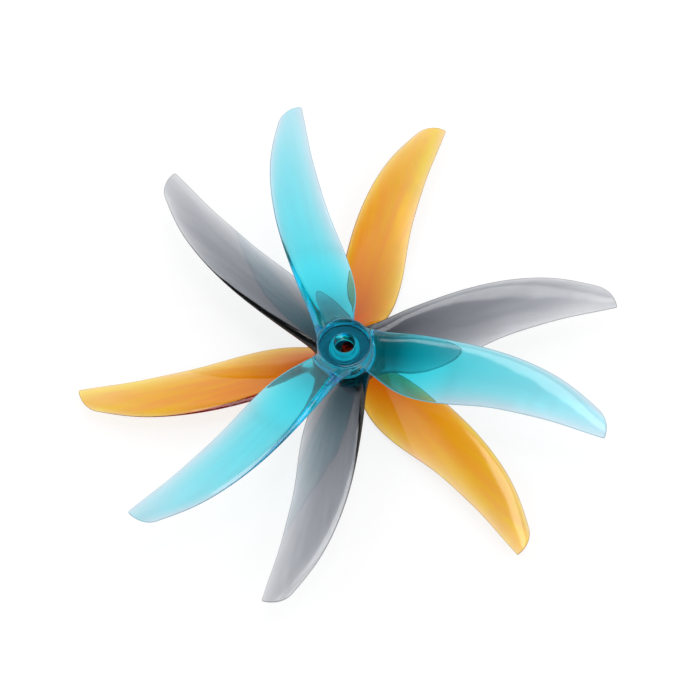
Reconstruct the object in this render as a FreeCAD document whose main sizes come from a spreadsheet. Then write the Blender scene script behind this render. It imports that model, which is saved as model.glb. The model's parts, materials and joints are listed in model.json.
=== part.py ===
"""Three moulded three-blade propellers, stacked loosely hub on hub.

Units are millimetres and +Z is up. The origin is the centre of the underside of the bottom hub,
which is the face that the stack stands on. Each propeller is one solid moulding, so each is one
PartDesign body. All three share one set of driving dimensions and differ only in where they lie.
"""

import FreeCAD
import Part

import math
import os

import Sketcher
from FreeCAD import Vector

# --- driving dimensions -----------------------------------------------------------------------

HUB = {
    "hub_radius": 6.55,
    "hub_height": 7.0,
    "rim_round": 0.5,
    "bore_radius": 2.5,
    "recess_radius": 3.65,  # the wider end of the bore, which opens underneath
    "recess_depth": 2.6,
}

BLADE = {
    "blade_count": 3,
    "hollow": 0.3,  # how far the underside arches above the line between its edges
    "nose_share": 0.24,  # nose radius as a share of the section's thickness
    "tip_radius": 65.2,
    "tip_round": 6.6,  # radius of the curved end of the blade, seen from above
    "tip_corner": 0.6,
    "tip_trail": 0.75,  # how far the tip's last point lies behind the blade's radial line
    "cutter_margin": 4.0,
}

# One blade section per row, out from the axis. The sweep and the rise place the middle of the
# chord ahead of the blade's own radial line and above the hub's mid-height.
STATION_NAMES = ("station", "chord", "pitch", "sweep", "rise", "thickness", "trailing_edge")
STATIONS = (
    (1, 9.2, 16.5, 1.8, -0.2, 3.1, 1.2),
    (8, 11.0, 20.5, 1.4, 0.2, 3.0, 1.15),
    (14, 14.3, 24.0, 1.3, 0.0, 2.5, 0.8),
    (20, 15.6, 23.0, 1.8, -0.05, 2.05, 0.5),
    (28, 15.2, 20.0, 3.05, 0.3, 1.65, 0.38),
    (36, 13.7, 16.0, 4.2, 0.85, 1.35, 0.32),
    (44, 12.3, 13.4, 4.55, 1.0, 1.15, 0.3),
    (52, 10.2, 11.0, 4.2, 0.75, 0.93, 0.3),
    (60, 7.2, 7.0, 2.85, 0.2, 0.7, 0.3),
    (66, 4.4, 1.0, 1.6, -0.3, 0.55, 0.3),
)

# Where each propeller lies: how many hubs are under it, the turn of its first blade from +X,
# and how far its axis stands from the bottom one's. The stack leans, because nothing centres it.
PLACE_NAMES = ("level", "turn", "shift_x", "shift_y")
PROPELLERS = {
    "propeller_bottom_orange": (0, 68.0, 0.0, 0.0),
    "propeller_middle_smoke": (1, 11.3, 0.95, -3.4),
    "propeller_top_teal": (2, 99.3, -0.65, -4.4),
}

START, END, CENTRE = 1, 2, 3  # how a sketch numbers the points of an edge
SKETCH_ORIGIN = (-1, 1)


# --- the sheet --------------------------------------------------------------------------------


def station_alias(name, number):
    return f"{name}_{number}_value"


def fill_sheet(document):
    """Writes every driving dimension to the sheet, one row each, with its alias."""
    sheet = document.addObject("Spreadsheet::Sheet", "Dims")
    rows = list(HUB.items()) + list(BLADE.items())
    for number, station in enumerate(STATIONS):
        rows += [(station_alias(name, number), value) for name, value in zip(STATION_NAMES, station)]
    for label, place in PROPELLERS.items():
        rows += [(f"{label}_{name}", value) for name, value in zip(PLACE_NAMES, place)]
    for row, (alias, value) in enumerate(rows, start=1):
        sheet.set(f"A{row}", alias)
        sheet.set(f"B{row}", str(value))
        sheet.setAlias(f"B{row}", alias)
    document.recompute()


# --- sketch helpers ---------------------------------------------------------------------------


def origin_part(body, role):
    """The body's own origin plane or axis with this role."""
    return next(feature for feature in body.Origin.OriginFeatures if feature.Role == role)


def add_sketch(body, name, plane):
    """A sketch lying on one of the body's own origin planes."""
    sketch = body.newObject("Sketcher::SketchObject", name)
    sketch.AttachmentSupport = [(origin_part(body, plane), "")]
    sketch.MapMode = "FlatFace"
    return sketch


def line(start, end):
    return Part.LineSegment(Vector(*start, 0), Vector(*end, 0))


def arc(centre, radius, start, end):
    """An arc drawn anticlockwise from start to end, in degrees."""
    circle = Part.Circle(Vector(*centre, 0), Vector(0, 0, 1), radius)
    return Part.ArcOfCircle(circle, math.radians(start), math.radians(end))


def join(sketch, first, first_end, second, second_end):
    sketch.addConstraint(Sketcher.Constraint("Coincident", first, first_end, second, second_end))


def bind_last(sketch, name, expression):
    """Names the newest constraint and lets the sheet drive it."""
    sketch.renameConstraint(sketch.ConstraintCount - 1, name)
    sketch.setExpression(f"Constraints.{name}", expression)


def fix_point(sketch, name, edge, end, across=None, up=None):
    """Pins one point of an edge across from and up from the sketch's origin."""
    point = sketch.getPoint(edge, end)
    if across is not None:
        sketch.addConstraint(Sketcher.Constraint("DistanceX", *SKETCH_ORIGIN, edge, end, point.x))
        bind_last(sketch, name + "Across", across)
    if up is not None:
        sketch.addConstraint(Sketcher.Constraint("DistanceY", *SKETCH_ORIGIN, edge, end, point.y))
        bind_last(sketch, name + "Up", up)


def fix_radius(sketch, name, edge, expression):
    sketch.addConstraint(Sketcher.Constraint("Radius", edge, sketch.Geometry[edge].Radius))
    bind_last(sketch, name, expression)


# --- the hub ----------------------------------------------------------------------------------


def add_hub(body):
    """The hub: a short cylinder with rounded rims, turned about the bore's axis."""
    radius, rim = HUB["hub_radius"], HUB["rim_round"]
    half, inner = HUB["hub_height"] / 2, radius - rim
    sketch = add_sketch(body, "HubProfile", "XZ_Plane")
    sketch.addGeometry(line((0, -half), (inner, -half)))
    sketch.addGeometry(arc((inner, rim - half), rim, -90, 0))
    sketch.addGeometry(line((radius, rim - half), (radius, half - rim)))
    sketch.addGeometry(arc((inner, half - rim), rim, 0, 90))
    sketch.addGeometry(line((inner, half), (0, half)))
    sketch.addGeometry(line((0, half), (0, -half)))
    edges = sketch.GeometryCount
    for edge in range(edges):
        join(sketch, edge, END, (edge + 1) % edges, START)

    foot, top = "-Dims.hub_height / 2", "Dims.hub_height / 2"
    flat = "Dims.hub_radius - Dims.rim_round"
    fix_point(sketch, "Foot", 0, START, "0", foot)
    fix_point(sketch, "FootRim", 0, END, flat, foot)
    fix_point(sketch, "WallFoot", 2, START, "Dims.hub_radius", f"{foot} + Dims.rim_round")
    fix_point(sketch, "WallTop", 2, END, "Dims.hub_radius", f"{top} - Dims.rim_round")
    fix_point(sketch, "TopRim", 4, START, flat, top)
    fix_point(sketch, "Top", 5, START, "0", top)
    fix_radius(sketch, "FootRound", 1, "Dims.rim_round")
    fix_radius(sketch, "TopRound", 3, "Dims.rim_round")

    hub = body.newObject("PartDesign::Revolution", "Hub")
    hub.Profile = sketch
    hub.ReferenceAxis = (origin_part(body, "Z_Axis"), [""])
    hub.Angle = 360


# --- the blades -------------------------------------------------------------------------------


def rising_arc(left, right, ends, arch):
    """An arc between two points at the same height, arching up between them."""
    half_width = (right - left) / 2
    radius = (half_width**2 + arch**2) / (2 * arch)
    spread = math.degrees(math.asin(half_width / radius))
    return arc(((left + right) / 2, ends + arch - radius), radius, 90 - spread, 90 + spread)


def add_section(body, number):
    """One blade section: arched top and underside, a round nose and a blunt trailing edge.

    The section's own X runs along the chord towards the leading edge.
    """
    station = dict(zip(STATION_NAMES, STATIONS[number]))
    nose = station["thickness"] * BLADE["nose_share"]
    tail = station["trailing_edge"] / 2
    front, back = station["chord"] / 2 - nose, -station["chord"] / 2
    middle = (nose + tail) / 2
    top_arch = BLADE["hollow"] + station["thickness"] - 2 * middle

    sketch = add_sketch(body, f"Section{number}", "YZ_Plane")
    cell = {name: "Dims." + station_alias(name, number) for name in STATION_NAMES}
    sketch.setExpression("AttachmentOffset.Base.x", cell["sweep"])
    sketch.setExpression("AttachmentOffset.Base.y", cell["rise"])
    sketch.setExpression("AttachmentOffset.Base.z", cell["station"])
    sketch.setExpression("AttachmentOffset.Rotation.Angle", cell["pitch"])

    sketch.addGeometry(line((back, tail), (back, -tail)))
    sketch.addGeometry(rising_arc(back, front, -middle, BLADE["hollow"]))
    sketch.addGeometry(arc((front, 0), nose, -90, 90))
    sketch.addGeometry(rising_arc(back, front, middle, top_arch))
    join(sketch, 0, END, 1, END)
    join(sketch, 1, START, 2, START)
    join(sketch, 2, END, 3, START)
    join(sketch, 3, END, 0, START)

    nose_size = f"{cell['thickness']} * Dims.nose_share"
    tail_size = f"{cell['trailing_edge']} / 2"
    back_at, front_at = f"-{cell['chord']} / 2", f"{cell['chord']} / 2 - {nose_size}"
    arch_size = f"(Dims.hollow + {cell['thickness']} - {nose_size} - {tail_size})"
    radius_rule = f"((({cell['chord']} - {nose_size}) / 2)^2 + ARCH^2) / (2 * ARCH)"
    fix_point(sketch, "TailTop", 0, START, back_at, tail_size)
    fix_point(sketch, "TailFoot", 0, END, back_at, f"-{tail_size}")
    fix_point(sketch, "NoseTop", 2, END, front_at, nose_size)
    fix_point(sketch, "NoseFoot", 2, START, front_at, f"-{nose_size}")
    fix_point(sketch, "Nose", 2, CENTRE, front_at)
    fix_radius(sketch, "Underside", 1, radius_rule.replace("ARCH", "Dims.hollow"))
    fix_radius(sketch, "Top", 3, radius_rule.replace("ARCH", arch_size))
    return sketch


def add_blade(body):
    """One blade, lofted through its sections from inside the hub to just past the tip."""
    sections = [add_section(body, number) for number in range(len(STATIONS))]
    blade = body.newObject("PartDesign::AdditiveLoft", "Blade")
    blade.Profile = sections[0]
    blade.Sections = sections[1:]
    return blade


def add_tip_cut(body):
    """Trims the blade's end to one large arc, which turns into a small one at the trailing edge.

    The large arc is centred on the blade's radial line, and the small one is tangent inside it.
    """
    large, small = BLADE["tip_round"], BLADE["tip_corner"]
    trail, margin = BLADE["tip_trail"], BLADE["cutter_margin"]
    centre = BLADE["tip_radius"] - large
    corner_up = small - trail
    corner_out = math.sqrt((large - small) ** 2 - corner_up**2)
    corner = centre + corner_out
    meet = math.degrees(math.atan2(corner_up, corner_out))
    first = 75
    start = (centre + large * math.cos(math.radians(first)), large * math.sin(math.radians(first)))
    far, high, low = BLADE["tip_radius"] + margin, large + margin, -trail - margin

    sketch = add_sketch(body, "TipOutline", "XY_Plane")
    sketch.addGeometry(arc((centre, 0), large, meet, first))
    sketch.addGeometry(arc((corner, corner_up), small, -90, meet))
    sketch.addGeometry(line((corner, -trail), (corner, low)))
    sketch.addGeometry(line((corner, low), (far, low)))
    sketch.addGeometry(line((far, low), (far, high)))
    sketch.addGeometry(line((far, high), (start[0], high)))
    sketch.addGeometry(line((start[0], high), start))
    sketch.addConstraint(Sketcher.Constraint("Tangent", 0, START, 1, END))
    join(sketch, 1, START, 2, START)
    for edge in range(2, 6):
        join(sketch, edge, END, edge + 1, START)
    join(sketch, 6, END, 0, END)
    sketch.addConstraint(Sketcher.Constraint("Vertical", 1, CENTRE, 1, START))
    for edge in (2, 4, 6):
        sketch.addConstraint(Sketcher.Constraint("Vertical", edge))
    for edge in (3, 5):
        sketch.addConstraint(Sketcher.Constraint("Horizontal", edge))

    fix_point(sketch, "Centre", 0, CENTRE, "Dims.tip_radius - Dims.tip_round", "0")
    fix_radius(sketch, "TipRound", 0, "Dims.tip_round")
    fix_radius(sketch, "TipCorner", 1, "Dims.tip_corner")
    fix_point(sketch, "Trail", 1, START, up="-Dims.tip_trail")
    fix_point(sketch, "Far", 4, START, "Dims.tip_radius + Dims.cutter_margin",
              "-Dims.tip_trail - Dims.cutter_margin")
    fix_point(sketch, "High", 5, END, f"Dims.tip_radius - Dims.tip_round * (1 - cos({first}))",
              "Dims.tip_round + Dims.cutter_margin")

    cut = body.newObject("PartDesign::Pocket", "TipCut")
    cut.Profile = sketch
    cut.Type = "ThroughAll"
    cut.Midplane = True
    return cut


def add_pattern(body, features):
    """Repeats the blade evenly round the bore's axis."""
    pattern = body.newObject("PartDesign::PolarPattern", "Blades")
    pattern.Originals = features
    pattern.Axis = (origin_part(body, "Z_Axis"), [""])
    pattern.Angle = 360
    pattern.setExpression("Occurrences", "Dims.blade_count")
    body.Tip = pattern


# --- the bore ---------------------------------------------------------------------------------


def add_round_cut(body, name, alias):
    """A round cut about the axis, from its sketch down through the hub's foot."""
    sketch = add_sketch(body, name + "Circle", "XY_Plane")
    sketch.addGeometry(Part.Circle(Vector(), Vector(0, 0, 1), HUB[alias]))
    sketch.addConstraint(Sketcher.Constraint("Coincident", 0, CENTRE, *SKETCH_ORIGIN))
    fix_radius(sketch, "Size", 0, f"Dims.{alias}")
    cut = body.newObject("PartDesign::Pocket", name)
    cut.Profile = sketch
    cut.Type = "ThroughAll"
    return sketch, cut


def add_bore(body):
    """The bore for the motor's shaft, with a wider recess underneath."""
    bore = add_round_cut(body, "Bore", "bore_radius")[1]
    bore.Midplane = True
    recess = add_round_cut(body, "Recess", "recess_radius")[0]
    recess.setExpression("AttachmentOffset.Base.z", "Dims.recess_depth - Dims.hub_height / 2")


# --- the whole --------------------------------------------------------------------------------


def add_propeller(document, label):
    body = document.addObject("PartDesign::Body", label)
    body.Label = label
    add_hub(body)
    add_pattern(body, [add_blade(body), add_tip_cut(body)])
    add_bore(body)
    body.Placement = FreeCAD.Placement(Vector(), FreeCAD.Rotation(Vector(0, 0, 1), 1))
    body.setExpression("Placement.Rotation.Angle", f"Dims.{label}_turn")
    body.setExpression("Placement.Base.x", f"Dims.{label}_shift_x")
    body.setExpression("Placement.Base.y", f"Dims.{label}_shift_y")
    body.setExpression("Placement.Base.z", f"Dims.hub_height * (Dims.{label}_level + 0.5)")
    return body


def check(document, bodies):
    """Stops unless every object computed and every propeller is one valid solid."""
    for item in document.Objects:
        if {"Invalid", "Error"} & set(item.State):
            raise RuntimeError(f"{item.Label} did not compute: {item.State}")
    for body in bodies:
        shape = body.Shape
        if shape.isNull() or not shape.isValid() or len(shape.Solids) != 1:
            raise RuntimeError(f"{body.Label} is not one valid solid")


document = FreeCAD.newDocument("PropellerStack")
fill_sheet(document)
propellers = [add_propeller(document, label) for label in PROPELLERS]
document.recompute()
check(document, propellers)

os.makedirs("parts", exist_ok=True)
for propeller in propellers:
    propeller.Shape.exportStep(f"parts/{propeller.Label}.step")
    print(propeller.Label, round(propeller.Shape.Volume, 1), "mm3", propeller.Shape.BoundBox)
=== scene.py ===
"""Looks for the stack of three translucent propellers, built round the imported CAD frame.

Shapes are worked out in millimetres and written to Blender in metres.
"""

import json
import math

import bpy
import numpy as np
from mathutils import Matrix, Vector


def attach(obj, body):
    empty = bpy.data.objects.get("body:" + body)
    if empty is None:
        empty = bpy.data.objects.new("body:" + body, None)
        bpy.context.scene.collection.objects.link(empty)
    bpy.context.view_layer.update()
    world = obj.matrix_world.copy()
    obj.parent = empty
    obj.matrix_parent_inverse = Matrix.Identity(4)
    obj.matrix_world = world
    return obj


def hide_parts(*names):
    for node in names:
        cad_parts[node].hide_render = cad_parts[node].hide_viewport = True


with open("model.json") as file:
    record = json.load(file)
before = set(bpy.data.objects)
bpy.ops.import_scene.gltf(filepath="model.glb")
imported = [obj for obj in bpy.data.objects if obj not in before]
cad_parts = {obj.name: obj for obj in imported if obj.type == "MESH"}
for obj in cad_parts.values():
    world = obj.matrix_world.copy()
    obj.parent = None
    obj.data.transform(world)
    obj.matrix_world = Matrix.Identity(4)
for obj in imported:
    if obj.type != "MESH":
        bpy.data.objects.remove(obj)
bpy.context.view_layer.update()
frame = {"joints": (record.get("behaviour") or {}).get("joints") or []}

MM = 0.001

# --- driving dimensions of one propeller, in millimetres ---------------------------------------

HUB_RADIUS, HUB_HALF = 6.55, 3.5
HUB_FOOT = 0.03 - HUB_HALF  # a hair above the face it stands on, so that the two stay apart
RIM_ROUND = 0.5
BORE_RADIUS, BORE_ROUND = 2.5, 0.15
RECESS_RADIUS, RECESS_CEILING, RECESS_ROUND = 3.65, -0.9, 0.15
ROOT_FILLET = 1.5
ROOT_LIMIT = 2.8  # the root fillets die out this far above and below the hub's middle

BLADES = 3
TIP_RADIUS, TIP_ROUND = 65.2, 6.6
TIP_EDGE = 0.2  # reach of the rounding round the blade's end

# One section of a blade in each row: radius, chord, pitch in degrees, sweep, rise, thickness, and
# radius of the trailing edge. Sweep and rise place the middle of the chord.
STATIONS = np.array((
    (1, 9.2, 16.5, 1.8, -0.2, 3.6, 0.62),
    (8, 11.0, 20.5, 1.4, 0.0, 3.5, 0.6),
    (14, 14.3, 24.0, 1.3, -0.3, 2.85, 0.45),
    (20, 15.6, 23.0, 1.8, -0.25, 2.2, 0.28),
    (28, 15.2, 20.0, 3.05, 0.25, 1.72, 0.19),
    (36, 13.7, 16.0, 4.2, 0.85, 1.4, 0.16),
    (44, 12.3, 13.4, 4.55, 1.0, 1.17, 0.15),
    (52, 10.2, 11.0, 4.2, 0.75, 0.93, 0.15),
    (60, 7.2, 7.0, 2.85, 0.2, 0.67, 0.15),
    (66, 4.4, 1.0, 1.6, -0.3, 0.5, 0.15),
))
HOLLOW = 0.3  # how far the middle line of a section arches above its chord
CREST = 4.4  # how far behind its leading edge a section is thickest
CREST_SHARE = 0.4  # the largest share of its width that this may be
LIFT = 0.2  # share of the swelling that lies above the chord line rather than evenly about it
THIN_TAIL = 0.15  # a trailing edge of more than this radius swells upwards only
NOSE_LEAST, NOSE_SHARE = 0.14, 0.07  # reach of the leading edge's rounding, growing with thickness

# Each propeller's body, CAD node and material slot, and the turn of its first blade from +X.
PROPELLERS = (
    ("propeller_bottom", "propeller_bottom_orange", "orange_polycarbonate", 68.0),
    ("propeller_middle", "propeller_middle_smoke", "smoke_polycarbonate", 11.3),
    ("propeller_top", "propeller_top_teal", "teal_polycarbonate", 99.3),
)

# --- how finely the mesh is divided ------------------------------------------------------------

SPAN_ROWS, SPAN_EASE = 36, 0.6
CHORD_COLUMNS, CHORD_EASE = 12, 0.35
EDGE_STEPS, GAP_COLUMNS = 4, 4
RIM_STEPS, LIP_STEPS = 4, 3
FILLET_STEPS = (0, 0.1, 0.32, 0.7, 1.3)  # rows round a blade's root, by distance from the hub
WALL_SHARES = (0.4, 0.8)  # rings on the hub's wall, from the blades' roots towards its rims
CROWN_RADII, FOOT_RADII = (5.85, 4.8, 3.6), (4.05, 4.9, 5.85)
BORE_HEIGHTS, RECESS_HEIGHTS = (3.1, 1.5, 0.2), (RECESS_CEILING - 0.4, -3.1)
ROOT_REACH = 14.0  # the rows round a blade's root all lie within this distance of the axis
HALVINGS = 40
SUBDIVISIONS = 2

# --- plastics ----------------------------------------------------------------------------------

WHITE = (1, 1, 1)
IOR = 1.585
NOISE_RANGE = (0.3, 0.7)  # the part of the noise that is stretched over the whole change
STREAK_SCALE, STREAK_DETAIL = 16, 4
STREAK_STRETCH = 0.2  # how fast the streaks change along a blade, against across it
POLISH_SCALE, POLISH_DETAIL, POLISH = 700, 4, (0.03, 0.08)
SINK_SCALE, SINK_DETAIL, SINK_DEPTH = 140, 1, 0.00005

# The hub's two flat undersides are frosted: its foot and the recess's ceiling. A point lies on one
# when it is within FACE_REACH of that height and more than WALL_REACH inside the hub's wall.
FOOT_FROST, CEILING_FROST = 0.65, 1.0
FACE_REACH, WALL_REACH = 0.01, 0.1

# In millimetres out from the hub: where the skin has its full tint, where the root's tint ends, and
# where the painted glow, emission standing in for light scattered in the plastic, is strongest and
# how far it then takes to fade.
SKIN_FULL, ROOT_END = 2, 22
PAINTED_GLOW_CENTRE, PAINTED_GLOW_FADE = 12, 8
ROOT_PAINTED_GLOW, CEILING_PAINTED_GLOW = 0.45, 1.5  # the least painted glow at a blade's root, and the painted glow of the recess's ceiling

# skins are two tints that drift into each other. root, rim and frosted tint a blade's root, its
# edges and the frosted faces; the rim's tint is painted shade, the dark outline that refraction
# gives clear edges. depth is the colour that a thickness leaves, and density is how fast.
# painted_glow is the colour and the strength of a painted glow: emission that stands in for the
# light that the plastic scatters.
PLASTICS = {
    "orange_polycarbonate": dict(
        skins=((1, 1, 0.5), (1, 0.79, 1)), root=(0.8, 0.84, 0.85), rim=(0.5, 0.3, 0.15),
        frosted=(1, 0.8, 0.5), depth=(0.971, 0.82, 0.2), density=3500,
    ),
    "smoke_polycarbonate": dict(
        skins=((1, 0.99, 1), (0.86, 0.86, 0.89)), root=(0.98, 0.96, 0.95), rim=(0.25, 0.25, 0.27),
        frosted=(0.5, 0.5, 0.52), depth=(0.1, 0.14, 0.2), density=1000,
    ),
    "teal_polycarbonate": dict(
        skins=((0.97, 0.82, 0.9), (1, 0.77, 0.86)), root=(0.02, 0.45, 0.52), rim=(0.12, 0.42, 0.5),
        frosted=(0.9, 1, 1), depth=(0, 0.957, 0.98), density=1330, painted_glow=((0, 0.9, 1), 0.1),
    ),
}

# --- studio and camera -------------------------------------------------------------------------

FLOOR_REACH = 3.0  # metres
SHEET_COLOUR, SHEET_ROUGHNESS, SHEET_SHINE = (0.35, 0.35, 0.35), 0.6, 0.76
SHEET_PAINTED_SHADOW = (0.85, 1.25)  # painted shadow: the sheet's light is left out under the hub and comes up to full between these shares of the hub's radius

# Each light changes as a ray turns towards its direction: the cosines of the angles at which the
# change starts and ends, and the strengths there. The room is multiplied by the gap, and the panel
# is added.
UP = (0, 0, 1)
ROOM = (0.82, 0.91, 1, 0.1)
GAP_DIRECTION = (-0.15, -0.6, 0.8)
GAP = (math.cos(math.radians(36)), math.cos(math.radians(14)), 1, 0.12)
PANEL_DIRECTION = (0.1, 0.16, 0.98)
PANEL = (math.cos(math.radians(13.5)), math.cos(math.radians(6)), 0, 3.2)

CAMERA_ELEVATION, CAMERA_ROLL = 66.56, -0.57  # degrees
CAMERA_DISTANCE, CLIP_START, CLIP_END = 0.8764, 0.05, 20  # metres
CAMERA_AIM = (1.295, -0.38, 5 * HUB_HALF)  # millimetres, from where the top hub's axis meets the floor
LENS, SENSOR = 190.2, 36  # millimetres
BOUNCES = 24  # enough for light to pass through all three mouldings and their edges


# --- the blade's shape -------------------------------------------------------------------------


def spline(knots, values):
    """A natural cubic spline through the values."""
    steps = np.diff(knots)
    slopes = np.diff(values) / steps
    system, right = np.eye(len(knots)), np.zeros(len(knots))
    for i in range(1, len(knots) - 1):
        system[i, i - 1:i + 2] = steps[i - 1], 2 * (steps[i - 1] + steps[i]), steps[i]
        right[i] = 6 * (slopes[i] - slopes[i - 1])
    bend = np.linalg.solve(system, right)

    def at(x):
        i = np.clip(np.searchsorted(knots, x) - 1, 0, len(steps) - 1)
        a, b, step = x - knots[i], knots[i + 1] - x, steps[i]
        curve = (bend[i] * b**3 + bend[i + 1] * a**3) / (6 * step)
        start = values[i] / step - bend[i] * step / 6
        end = values[i + 1] / step - bend[i + 1] * step / 6
        return curve + start * b + end * a

    return at


CHORD, PITCH, SWEEP, RISE, THICKNESS, TAIL = (
    spline(STATIONS[:, 0], STATIONS[:, column]) for column in range(1, STATIONS.shape[1])
)


def nose_reach(x):
    """How much of the section's front is left to the rounding of the leading edge."""
    return NOSE_LEAST + NOSE_SHARE * THICKNESS(x)


def blade_point(x, across):
    """Plan y, mid-surface z, and half the thickness, at this radius and share of the chord.

    across runs from 0 at the trailing edge to 1 at the leading edge, both without their rounding.
    """
    pitch = np.radians(PITCH(x))
    width = CHORD(x) * np.cos(pitch)
    nose, tail, full = nose_reach(x), TAIL(x), THICKNESS(x) / 2
    share = (tail + across * (width - tail - nose)) / width
    crest = np.minimum(CREST, CREST_SHARE * width)
    ahead = np.clip(1 - (1 - share) * width / crest, 0, 1)
    behind = np.clip((share * width - tail) / (width - crest - tail), 0, 1)
    half = np.where(
        ahead > 0, full * np.sqrt(1 - ahead**2), tail + (full - tail) * behind * (2 - behind)
    )
    y = SWEEP(x) + (share - 0.5) * width
    z = RISE(x) + (share - 0.5) * width * np.tan(pitch) + HOLLOW * 4 * share * (1 - share)
    z += LIFT * half + (tail - THIN_TAIL) * (1 - behind)
    return y, z, half


def solve(function, low, high):
    """Where an increasing function crosses zero, by halving, for whole arrays at once."""
    for _ in range(HALVINGS):
        middle = (low + high) / 2
        below = function(middle) < 0
        low, high = np.where(below, middle, low), np.where(below, high, middle)
    return (low + high) / 2


def eased(count, ease):
    """Shares from 0 to 1 that crowd towards both ends."""
    t = np.linspace(0, 1, count + 1)
    return t - ease * np.sin(2 * np.pi * t) / (2 * np.pi)


def blade_grid():
    """Plan x and y, and the heights of the top and the underside, over one blade.

    Rows run out from the hub's wall, and columns from the trailing edge to the leading edge.
    """
    across = eased(CHORD_COLUMNS, CHORD_EASE)
    low, high = np.zeros_like(across), np.full_like(across, ROOT_REACH)
    rows = []
    for step in FILLET_STEPS:
        reach = HUB_RADIUS + step
        rows.append(solve(lambda x: np.hypot(x, blade_point(x, across)[0]) - reach, low, high))
    centre, end = TIP_RADIUS - TIP_ROUND, TIP_ROUND - TIP_EDGE
    tip = solve(
        lambda x: np.hypot(x - centre, blade_point(x, across)[0]) - end,
        np.full_like(across, centre), np.full_like(across, TIP_RADIUS + 1),
    )
    first = rows.pop()
    rows += [first + (tip - first) * share for share in eased(SPAN_ROWS, SPAN_EASE)]
    x = np.array(rows)
    y, z, half = blade_point(x, across[None, :])
    distance = np.clip(np.hypot(x, y) - HUB_RADIUS, 0, ROOT_FILLET)
    flare = ROOT_FILLET - np.sqrt(ROOT_FILLET**2 - (ROOT_FILLET - distance) ** 2)
    room_up = np.clip((ROOT_LIMIT - z - half) / ROOT_FILLET, 0, 1)
    room_down = np.clip((z - half + ROOT_LIMIT) / ROOT_FILLET, 0, 1)
    return x, y, z + half + flare * room_up, z - half - flare * room_down


# --- the mesh ----------------------------------------------------------------------------------


class Cage:
    """Vertices and quads gathered patch by patch."""

    def __init__(self):
        self.points, self.faces, self.painted_shade_rims = [], [], set()

    def add(self, points):
        first = len(self.points)
        self.points += [tuple(point) for point in points]
        return list(range(first, len(self.points)))

    def patch(self, grid):
        """Quads over a grid of vertex numbers; rows and columns turn anticlockwise from outside."""
        for row, above in zip(grid, grid[1:]):
            for a, b, c, d in zip(row, row[1:], above[1:], above):
                self.faces.append((a, b, c, d))


def turned(x, y, angle):
    c, s = math.cos(angle), math.sin(angle)
    return x * c - y * s, x * s + y * c


def add_blade(cage, angle):
    """One blade, open at the hub's wall. Returns its wall loop: top, nose, under and tail chains."""
    x, y, top, under = blade_grid()
    px, py = turned(x, y, angle)
    rows, last = len(x), CHORD_COLUMNS
    top_grid = [cage.add(zip(px[i], py[i], top[i])) for i in range(rows)]
    under_grid = [cage.add(zip(px[i], py[i], under[i])) for i in range(rows)]
    cage.patch([row[::-1] for row in top_grid])
    cage.patch(under_grid)

    # The rim, from the leading edge's root round the tip to the trailing edge's root.
    rim = [(i, last) for i in range(rows)]
    rim += [(rows - 1, j) for j in range(last - 1, -1, -1)]
    rim += [(i, 0) for i in range(rows - 2, -1, -1)]
    reaches = [nose_reach(x[i, last]) for i in range(rows)]
    reaches += [TIP_EDGE] * last
    reaches += [TAIL(x[i, 0]) for i in range(rows - 2, -1, -1)]
    places = np.array([(x[at], y[at]) for at in rim])
    ahead = np.gradient(places, axis=0)
    outward = np.stack([-ahead[:, 1], ahead[:, 0]], axis=1)
    outward /= np.linalg.norm(outward, axis=1)[:, None]
    chains = []
    for (i, j), place, away, reach in zip(rim, places, outward, reaches):
        middle, half = (top[i, j] + under[i, j]) / 2, (top[i, j] - under[i, j]) / 2
        points = []
        for step in range(1, EDGE_STEPS):
            tilt = math.pi * (0.5 - step / EDGE_STEPS)
            edge = place + away * reach * math.cos(tilt)
            if i == 0:
                edge *= HUB_RADIUS / np.hypot(*edge)
            points.append((*turned(*edge, angle), middle + half * math.sin(tilt)))
        chains.append([top_grid[i][j], *cage.add(points), under_grid[i][j]])
        # edge points beyond the root row carry the rim's painted shade along the blade's edges
        if i > 0:
            cage.painted_shade_rims.update(chains[-1][1:-1])
    cage.patch([chain[::-1] for chain in chains])
    return top_grid[0], chains[0], under_grid[0], chains[-1]


def add_hub(cage, loops):
    """The hub, with its wall fitted round each blade's loop."""
    points = np.array(cage.points)
    top_chain, under_chain = [], []
    for number, (top, nose, under, _) in enumerate(loops):
        tail = loops[(number + 1) % BLADES][3]
        start, end = points[nose], points[tail]
        start_turn, end_turn = (np.arctan2(p[:, 1], p[:, 0]) for p in (start, end))
        end_turn = start_turn + (end_turn - start_turn) % (2 * math.pi)
        columns = [nose]
        for step in range(1, GAP_COLUMNS):
            share = step / GAP_COLUMNS
            turn = start_turn + (end_turn - start_turn) * share
            height = start[:, 2] + (end[:, 2] - start[:, 2]) * share
            wall = zip(HUB_RADIUS * np.cos(turn), HUB_RADIUS * np.sin(turn), height)
            columns.append(cage.add(wall))
        columns.append(tail)
        cage.patch(columns)
        top_chain += top + [column[0] for column in columns[1:-1]]
        under_chain += under + [column[-1] for column in columns[1:-1]]

    points = np.array(cage.points)
    turns = np.arctan2(points[top_chain, 1], points[top_chain, 0])
    wall_top, wall_foot = HUB_HALF - RIM_ROUND, HUB_FOOT + RIM_ROUND

    def ring(radius, height):
        heights = np.broadcast_to(height, turns.shape)
        return cage.add(zip(radius * np.cos(turns), radius * np.sin(turns), heights))

    rings = [top_chain]
    for share in WALL_SHARES:
        rings.append(ring(HUB_RADIUS, points[top_chain, 2] * (1 - share) + wall_top * share))
    rings += [ring(*place) for place in hub_profile()]
    for share in WALL_SHARES[::-1]:
        rings.append(ring(HUB_RADIUS, points[under_chain, 2] * (1 - share) + wall_foot * share))
    rings.append(under_chain)
    cage.patch([numbers + numbers[:1] for numbers in rings])


def rounded(radius, height, size, start, end, steps=LIP_STEPS):
    """Points round an edge of the profile, on an arc of this size about (radius, height)."""
    for turn in np.linspace(math.radians(start), math.radians(end), steps + 1):
        yield radius + size * math.cos(turn), height + size * math.sin(turn)


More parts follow.
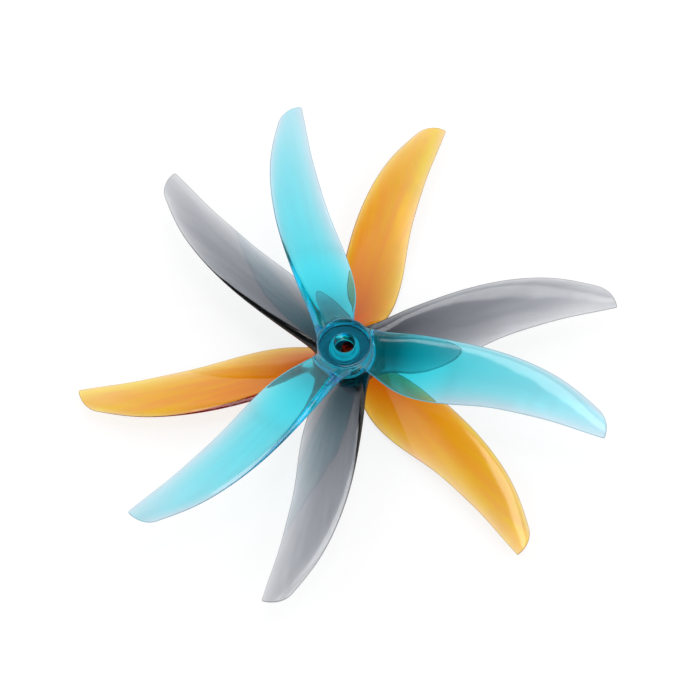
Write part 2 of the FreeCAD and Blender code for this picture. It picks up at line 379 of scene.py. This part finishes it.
def hub_profile():
    """The hub's outline from the top of its wall, over the crown, down the bore, round the foot."""
    rim, mouth, lip = HUB_RADIUS - RIM_ROUND, BORE_RADIUS + BORE_ROUND, BORE_RADIUS + 2 * BORE_ROUND
    inner, outer = RECESS_RADIUS - RECESS_ROUND, RECESS_RADIUS + RECESS_ROUND
    outline = list(rounded(rim, HUB_HALF - RIM_ROUND, RIM_ROUND, 0, 90, RIM_STEPS))
    outline += [(radius, HUB_HALF) for radius in (*CROWN_RADII, lip)]
    outline += rounded(mouth, HUB_HALF - BORE_ROUND, BORE_ROUND, 90, 180)
    bore_heights = (*BORE_HEIGHTS, RECESS_CEILING + 2 * BORE_ROUND)
    outline += [(BORE_RADIUS, height) for height in bore_heights]
    outline += rounded(mouth, RECESS_CEILING + BORE_ROUND, BORE_ROUND, 180, 270)
    outline += [(radius, RECESS_CEILING) for radius in (lip, inner - RECESS_ROUND)]
    outline += rounded(inner, RECESS_CEILING - RECESS_ROUND, RECESS_ROUND, 90, 0)
    outline += [(RECESS_RADIUS, height) for height in RECESS_HEIGHTS]
    outline += rounded(outer, HUB_FOOT + RECESS_ROUND, RECESS_ROUND, 180, 270)
    outline += [(radius, HUB_FOOT) for radius in FOOT_RADII]
    outline += rounded(rim, HUB_FOOT + RIM_ROUND, RIM_ROUND, -90, 0, RIM_STEPS)
    return outline


# --- what the mesh tells the material about each point -----------------------------------------
# out is the distance outwards from the hub's wall, and it is negative inside the hub.


def frost_at(out, z):
    """How frosted the moulding is here: only the hub's flat undersides are."""
    if out > -WALL_REACH:
        return 0.0
    if z < HUB_FOOT + FACE_REACH:
        return FOOT_FROST
    return CEILING_FROST if abs(z - RECESS_CEILING) < FACE_REACH else 0.0


def blade_at(out):
    """1 on the blades and 0 on the hub."""
    return min(1, max(0, out / SKIN_FULL))


def root_at(out):
    """How near the blade's root this is, and 0 on the hub."""
    return blade_at(out) * max(0, 1 - out / ROOT_END)


def painted_glow_at(out, z):
    """How strong the painted glow, standing in for scattered light, is here: on the recess's ceiling
    and the roots.
    """
    if out <= 0:
        return CEILING_PAINTED_GLOW * (frost_at(out, z) == CEILING_FROST)
    return max(ROOT_PAINTED_GLOW * (out < PAINTED_GLOW_CENTRE), 1 - ((out - PAINTED_GLOW_CENTRE) / PAINTED_GLOW_FADE) ** 2, 0)


def flow_place(x, y):
    """A place in the streaks left by the melt, which ran out from the hub along each blade."""
    reach = math.hypot(x, y)
    return x / reach, y / reach, STREAK_STRETCH * reach / TIP_RADIUS


def propeller_mesh(name, place, turn):
    cage = Cage()
    loops = [add_blade(cage, 2 * math.pi * number / BLADES) for number in range(BLADES)]
    add_hub(cage, loops)
    mesh = bpy.data.meshes.new(name)
    mesh.from_pydata([tuple(c * MM for c in point) for point in cage.points], [], cage.faces)
    mesh.transform(Matrix.Translation(place) @ Matrix.Rotation(turn, 4, "Z"))
    mesh.polygons.foreach_set("use_smooth", [True] * len(mesh.polygons))
    spots = [(math.hypot(x, y) - HUB_RADIUS, z) for x, y, z in cage.points]
    marks = {
        "frost": [frost_at(out, z) for out, z in spots],
        "blade": [blade_at(out) for out, _ in spots],
        "root": [root_at(out) for out, _ in spots],
        "painted_glow": [painted_glow_at(out, z) for out, z in spots],
        # rim marks where the painted shade along the blades' edges goes
        "rim": [float(number in cage.painted_shade_rims) for number in range(len(spots))],
    }
    for mark, values in marks.items():
        mesh.attributes.new(mark, "FLOAT", "POINT").data.foreach_set("value", values)
    flow = mesh.attributes.new("flow", "FLOAT_VECTOR", "POINT")
    flow.data.foreach_set("vector", [c for x, y, _ in cage.points for c in flow_place(x, y)])
    mesh.validate()
    return mesh


# --- materials and light -----------------------------------------------------------------------


def add_node(tree, kind, inputs, **settings):
    """A new shader node. Each input is set to a value or linked to another node's output."""
    node = tree.nodes.new("ShaderNode" + kind)
    for name, value in settings.items():
        setattr(node, name, value)
    for socket, value in inputs.items():
        if isinstance(value, bpy.types.NodeSocket):
            tree.links.new(value, node.inputs[socket])
        else:
            node.inputs[socket].default_value = value
    return node


def new_material(name):
    material = bpy.data.materials.new(name)
    material.use_nodes = True
    return material, material.node_tree, material.node_tree.nodes["Principled BSDF"]


def spread(tree, value, start, end, low, high, kind="LINEAR"):
    """A number that runs from low to high as the value runs from start to end."""
    inputs = {"Value": value, "From Min": start, "From Max": end, "To Min": low, "To Max": high}
    return add_node(tree, "MapRange", inputs, interpolation_type=kind).outputs["Result"]


def grain(tree, place, scale, detail, low, high):
    """Soft noise that runs from low to high."""
    noise = add_node(tree, "TexNoise", {"Vector": place, "Scale": scale, "Detail": detail})
    return spread(tree, noise.outputs["Fac"], *NOISE_RANGE, low, high)


def blend(tree, factor, start, end):
    """A colour that runs from start to end; either may be a socket."""
    mix = add_node(tree, "Mix", {"Factor": factor}, data_type="RGBA")
    for side, colour in (("A", start), ("B", end)):
        socket = next(s for s in mix.inputs if s.name == side and s.type == "RGBA")
        if isinstance(colour, tuple):
            socket.default_value = (*colour, 1)
        else:
            tree.links.new(colour, socket)
    return next(s for s in mix.outputs if s.type == "RGBA")


def plastic(name, skins, root, rim, frosted, depth, density, painted_glow=None):
    """Dyed clear plastic: a moulded skin over a body that darkens with depth."""
    material, tree, surface = new_material(name)
    place = add_node(tree, "TexCoord", {}).outputs["Object"]

    def mark(attribute, output="Fac"):
        return add_node(tree, "Attribute", {}, attribute_name=attribute).outputs[output]

    frost = mark("frost")
    streaks = grain(tree, mark("flow", "Vector"), STREAK_SCALE, STREAK_DETAIL, 0, 1)
    colour = blend(tree, mark("blade"), WHITE, blend(tree, streaks, *skins))
    # the rim's tint is painted shade along the blades' edges
    for share, tint in ((mark("root"), root), (mark("rim"), rim), (frost, frosted)):
        colour = blend(tree, share, colour, tint)
    clear = add_node(tree, "Math", {0: 1, 1: frost}, operation="SUBTRACT").outputs[0]
    polish = grain(tree, place, POLISH_SCALE, POLISH_DETAIL, *POLISH)
    height = grain(tree, place, SINK_SCALE, SINK_DETAIL, 0, 1)
    sink = add_node(tree, "Bump", {"Strength": 1, "Distance": SINK_DEPTH, "Height": height})
    surface.inputs["IOR"].default_value = IOR
    tree.links.new(colour, surface.inputs["Base Color"])
    tree.links.new(clear, surface.inputs["Transmission Weight"])
    tree.links.new(polish, surface.inputs["Roughness"])
    tree.links.new(sink.outputs["Normal"], surface.inputs["Normal"])

    # painted glow: emission that stands in for light scattered inside the plastic
    if painted_glow:
        painted_glow_colour, strength = painted_glow
        material.cycles.emission_sampling = "NONE"
        surface.inputs["Emission Color"].default_value = (*painted_glow_colour, 1)
        power = add_node(tree, "Math", {0: mark("painted_glow"), 1: strength}, operation="MULTIPLY")
        tree.links.new(power.outputs[0], surface.inputs["Emission Strength"])

    body = add_node(tree, "VolumeAbsorption", {"Color": (*depth, 1), "Density": density})
    tree.links.new(body.outputs[0], tree.nodes["Material Output"].inputs["Volume"])
    return material


def lit_sheet(name):
    """A white sheet lit from behind, so that what stands on it throws almost no shadow.

    A painted shadow: the sheet gives no light straight under the stack's foot.
    """
    material, tree, surface = new_material(name)
    material.cycles.emission_sampling = "NONE"
    place = add_node(tree, "TexCoord", {}).outputs["Object"]
    reach = add_node(tree, "VectorMath", {0: place}, operation="LENGTH").outputs["Value"]
    # painted shadow: the sheet's light fades out towards the hub's axis
    start, end = (share * HUB_RADIUS * MM for share in SHEET_PAINTED_SHADOW)
    shine_with_painted_shadow = spread(tree, reach, start, end, 0, SHEET_SHINE, "SMOOTHSTEP")
    tree.links.new(shine_with_painted_shadow, surface.inputs["Emission Strength"])
    surface.inputs["Emission Color"].default_value = (*WHITE, 1)
    surface.inputs["Base Color"].default_value = (*SHEET_COLOUR, 1)
    surface.inputs["Roughness"].default_value = SHEET_ROUGHNESS
    return material


def make_studio():
    """A white room with a dim ceiling, a darker gap high in front, and a soft panel overhead."""
    world = bpy.data.worlds.new("studio")
    bpy.context.scene.world = world
    world.use_nodes = True
    tree = world.node_tree
    ray = add_node(tree, "TexCoord", {}).outputs["Generated"]

    def facing(direction, *change):
        """Light that changes as a ray turns towards a direction."""
        inputs = {0: ray, 1: Vector(direction).normalized()}
        dot = add_node(tree, "VectorMath", inputs, operation="DOT_PRODUCT").outputs["Value"]
        return spread(tree, dot, *change)

    room = facing(UP, *ROOM)
    gap = facing(GAP_DIRECTION, *GAP, "SMOOTHSTEP")
    panel = facing(PANEL_DIRECTION, *PANEL, "SMOOTHSTEP")
    total = add_node(tree, "Math", {0: room, 1: gap, 2: panel}, operation="MULTIPLY_ADD")
    background = tree.nodes["Background"]
    background.inputs["Color"].default_value = (*WHITE, 1)
    tree.links.new(total.outputs[0], background.inputs["Strength"])


# --- the scene ---------------------------------------------------------------------------------


def hub_axis(body):
    """Where this body's hub axis crosses the floor, from the joint that turns it."""
    for joint in frame["joints"]:
        if joint["child"] == body:
            return Vector((joint["pos_m"][0], joint["pos_m"][1], 0))
    return Vector((0, 0, 0))


def make_propellers():
    for level, (body, node, slot, turn) in enumerate(PROPELLERS):
        name = body + "_moulding"
        place = hub_axis(body) + Vector((0, 0, (2 * level + 1) * HUB_HALF * MM))
        piece = bpy.data.objects.new(name, propeller_mesh(name, place, math.radians(turn)))
        bpy.context.scene.collection.objects.link(piece)
        smooth = piece.modifiers.new("smooth", "SUBSURF")
        smooth.levels = smooth.render_levels = SUBDIVISIONS
        piece.data.materials.append(plastic(slot, **PLASTICS[slot]))
        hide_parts(node)
        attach(piece, body)


def make_floor():
    mesh = bpy.data.meshes.new("floor")
    signs = ((-1, -1), (1, -1), (1, 1), (-1, 1))
    corners = [(FLOOR_REACH * x, FLOOR_REACH * y, 0) for x, y in signs]
    mesh.from_pydata(corners, [], [(0, 1, 2, 3)])
    floor = bpy.data.objects.new("floor", mesh)
    bpy.context.scene.collection.objects.link(floor)
    mesh.materials.append(lit_sheet("floor"))


def make_camera():
    data = bpy.data.cameras.new("camera")
    data.lens, data.sensor_width = LENS, SENSOR
    data.clip_start, data.clip_end = CLIP_START, CLIP_END
    camera = bpy.data.objects.new("camera", data)
    bpy.context.scene.collection.objects.link(camera)
    tilt, roll = math.radians(CAMERA_ELEVATION), math.radians(CAMERA_ROLL)
    right, up = Vector((1, 0, 0)), Vector((0, math.sin(tilt), math.cos(tilt)))
    back = Vector((0, -math.cos(tilt), math.sin(tilt)))
    side = math.cos(roll) * right + math.sin(roll) * up
    rise = -math.sin(roll) * right + math.cos(roll) * up
    target = hub_axis("propeller_top") + Vector(CAMERA_AIM) * MM
    camera.location = target + back * CAMERA_DISTANCE
    camera.rotation_euler = Matrix((side, rise, back)).transposed().to_euler()
    bpy.context.scene.camera = camera


make_propellers()
make_floor()
make_studio()
make_camera()
bpy.context.scene.view_settings.view_transform = "Standard"
paths = bpy.context.scene.cycles
paths.max_bounces = paths.glossy_bounces = paths.transmission_bounces = BOUNCES
